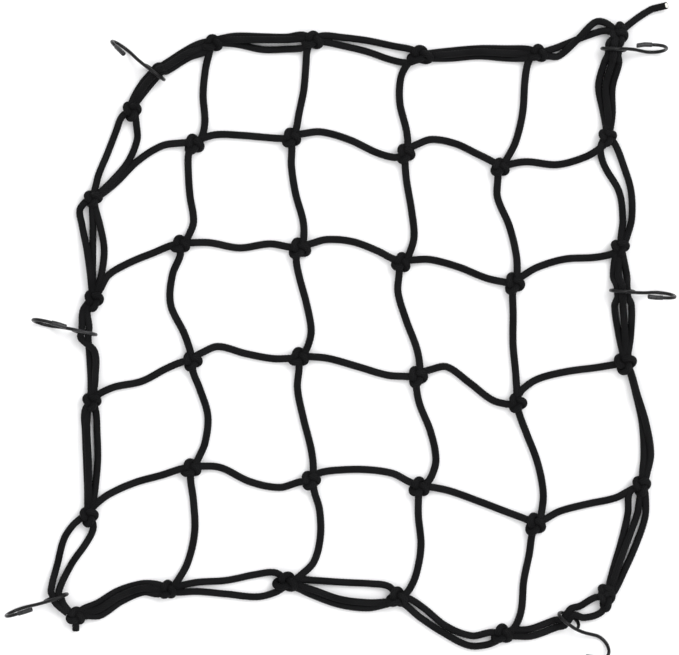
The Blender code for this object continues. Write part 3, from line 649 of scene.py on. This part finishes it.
def bend_hook(name, bend):
    """Bend one hook as on a jig, round its eye, along its shank and round its bend."""
    tangent = math.acos((EYE_RADIUS + BEND_RADIUS) / EYE_TO_BEND)
    start = math.radians(EYE_START)
    bpy.ops.object.select_all(action="DESELECT")
    eye_start = Vector((math.cos(start), 0.0, math.sin(start))) * EYE_RADIUS * MM
    bpy.ops.mesh.primitive_circle_add(vertices=WIRE_SIDES, radius=WIRE * MM, location=(0, 0, 0))
    hook = bpy.context.object
    hook.name = name
    bpy.ops.object.mode_set(mode="EDIT")
    bpy.ops.mesh.select_all(action="SELECT")
    bpy.ops.transform.rotate(value=start, orient_axis="Y", center_override=(0, 0, 0))
    bpy.ops.transform.translate(value=eye_start)
    bpy.ops.mesh.spin(steps=EYE_STEPS, angle=math.tau + start - tangent,
                      center=(0, 0, 0), axis=(0, -1, 0))
    first = tangent - math.pi
    eye_end = Vector((math.cos(tangent), 0.0, math.sin(tangent))) * EYE_RADIUS
    bend_start = Vector((EYE_TO_BEND + BEND_RADIUS * math.cos(first), 0.0,
                         BEND_RADIUS * math.sin(first)))
    for _ in range(SHANK_STEPS):
        shank = {"value": (bend_start - eye_end) * MM / SHANK_STEPS}
        bpy.ops.mesh.extrude_edges_move(TRANSFORM_OT_translate=shank)
    last = math.radians(bend)
    bpy.ops.mesh.spin(steps=BEND_STEPS, angle=first - last,
                      center=(EYE_TO_BEND * MM, 0, 0), axis=(0, -1, 0))
    leg = Vector((EYE_TO_BEND + BEND_RADIUS * math.cos(last), 0.0, BEND_RADIUS * math.sin(last)))
    back = Vector((-math.sin(last), 0.0, math.cos(last)))
    reached, thick = 0.0, WIRE
    for reach, radius in TIP_PROFILE:
        further = {"value": back * (reach - reached) * MM}
        bpy.ops.mesh.extrude_edges_move(TRANSFORM_OT_translate=further)
        ratio = radius / thick
        bpy.ops.transform.resize(value=(ratio, ratio, ratio),
                                 center_override=(leg + back * reach) * MM)
        reached, thick = reach, radius
    bpy.ops.mesh.select_all(action="SELECT")
    bpy.ops.mesh.fill_holes(sides=0)
    bpy.ops.mesh.normals_make_consistent(inside=False)
    bpy.ops.mesh.select_mode(type="FACE")
    bpy.ops.mesh.select_all(action="DESELECT")
    bpy.ops.object.mode_set(mode="OBJECT")
    for face in hook.data.polygons:
        face.select = (face.center - eye_start).length < END_ROUND * MM
    bpy.ops.object.mode_set(mode="EDIT")
    bpy.ops.mesh.bevel(offset=END_ROUND * MM, segments=3)
    bpy.ops.mesh.select_mode(type="VERT")
    bpy.ops.object.mode_set(mode="OBJECT")
    hook.data.materials.append(vinyl)
    hook.data.materials.append(dipped)
    for face in hook.data.polygons:
        from_leg = face.center - leg * MM
        along = from_leg.dot(back)
        if along > TIP_PROFILE[1][0] * MM and (from_leg - back * along).length < 2 * WIRE * MM:
            face.material_index = 1
    return hook


def place_hook(hook, x, y, heading, eye_lean, lean):
    """Twist a hook's shank, lean it over and stand it on its eye and its bend."""
    rise = math.asin(BEND_RADIUS / EYE_TO_BEND)
    hook.matrix_world = Matrix.Rotation(-rise, 4, "Y")
    bpy.ops.object.transform_apply(location=False, rotation=True, scale=False)
    low = min(vert.co.x for vert in hook.data.vertices)
    long = max(vert.co.x for vert in hook.data.vertices) - low
    twist = hook.modifiers.new("twist", "SIMPLE_DEFORM")
    twist.deform_method = "TWIST"
    twist.deform_axis = "X"
    twist.angle = math.radians(eye_lean - lean)
    twist.limits = (-low / long, (TWIST_END * MM - low) / long)
    bpy.ops.object.modifier_apply(modifier=twist.name)
    hook.matrix_world = (Matrix.Rotation(rise, 4, "Y")
                         @ Matrix.Rotation(-math.radians(eye_lean), 4, "X"))
    bpy.ops.object.transform_apply(location=False, rotation=True, scale=False)
    eye_foot = min(vert.co.z for vert in hook.data.vertices if vert.co.x < EYE_RADIUS * MM)
    bend_foot = min(vert.co.z for vert in hook.data.vertices if vert.co.x > TWIST_END * MM)
    pitch = math.asin((eye_foot - bend_foot) / (EYE_TO_BEND * MM))
    hook.matrix_world = (Matrix.Rotation(math.radians(heading), 4, "Z")
                         @ Matrix.Rotation(-pitch, 4, "Y"))
    bpy.ops.object.transform_apply(location=False, rotation=True, scale=False)
    foot = min(vert.co.z for vert in hook.data.vertices)
    hook.location = (Vector((x, y, 0.0)) - MIDDLE) * MM - Vector((0.0, 0.0, foot))
    bpy.ops.object.transform_apply(location=True, rotation=False, scale=False)


for name, _, _, x, y, heading, eye_lean, lean, bend, _, _, _ in HOOKS:
    hook = bend_hook(name + "_wire", bend)
    place_hook(hook, x, y, heading, eye_lean, lean)
    hook.data.shade_smooth()
    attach(hook, "root")
    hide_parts(name)


# ---------------------------------------------------- Floor, light and camera
# A plain white sweep of paper under a wide soft light overhead, a little
# stronger from the upper right, seen from straight above.

VIEW_WIDTH = 0.4527      # width of floor that the picture takes in, in metres
VIEW_MIDDLE = (-0.0008, 0.0020)
CAMERA_HEIGHT = 4.0
FLOOR_SIZE = 6.0
FLOOR_LEVEL = -0.0001    # just under the cords, so they never share a plane with it
GLOW_AT_SIDES = 0.25
GLOW_OVERHEAD = 1.62
LAMP_STRENGTH = 1.0
LAMP_SPREAD = 28.0       # in degrees, so the shadows' edges are soft
LAMP_FROM = (0.55, 0.45, 1.0)

bpy.ops.object.select_all(action="DESELECT")
bpy.ops.mesh.primitive_plane_add(size=FLOOR_SIZE, location=(0.0, 0.0, FLOOR_LEVEL))
floor = bpy.context.object
floor.name = "floor"

# Uncoated paper: an even white without any shine.
paper = bpy.data.materials.new("white_paper")
paper.use_nodes = True
paper_shader = paper.node_tree.nodes["Principled BSDF"]
paper_shader.inputs["Base Color"].default_value = linear("#f5f5f6")
paper_shader.inputs["Roughness"].default_value = 0.9
floor.data.materials.append(paper)

world = bpy.data.worlds.new("studio")
bpy.context.scene.world = world
world.use_nodes = True
sky = world.node_tree.nodes["Background"]
sky.inputs[0].default_value = (1.0, 1.0, 1.0, 1.0)
direction = add_node(world, "ShaderNodeTexCoord")
upward = add_node(world, "ShaderNodeSeparateXYZ", links={0: direction.outputs["Object"]})
glow = add_node(world, "ShaderNodeMapRange", links={0: upward.outputs[2]},
                values={3: GLOW_AT_SIDES, 4: GLOW_OVERHEAD})
world.node_tree.links.new(glow.outputs[0], sky.inputs[1])
bpy.context.scene.view_settings.view_transform = "Standard"

lamp_data = bpy.data.lights.new("softbox", "SUN")
lamp_data.energy = LAMP_STRENGTH
lamp_data.angle = math.radians(LAMP_SPREAD)
lamp = bpy.data.objects.new("softbox", lamp_data)
bpy.context.collection.objects.link(lamp)
lamp.rotation_euler = Vector(LAMP_FROM).to_track_quat("Z", "Y").to_euler()

camera_data = bpy.data.cameras.new("camera")
camera_data.sensor_width = 36.0
camera_data.lens = camera_data.sensor_width * CAMERA_HEIGHT / VIEW_WIDTH
camera_data.clip_end = 20.0
camera = bpy.data.objects.new("camera", camera_data)
bpy.context.collection.objects.link(camera)
camera.location = (*VIEW_MIDDLE, CAMERA_HEIGHT)
bpy.context.scene.camera = camera
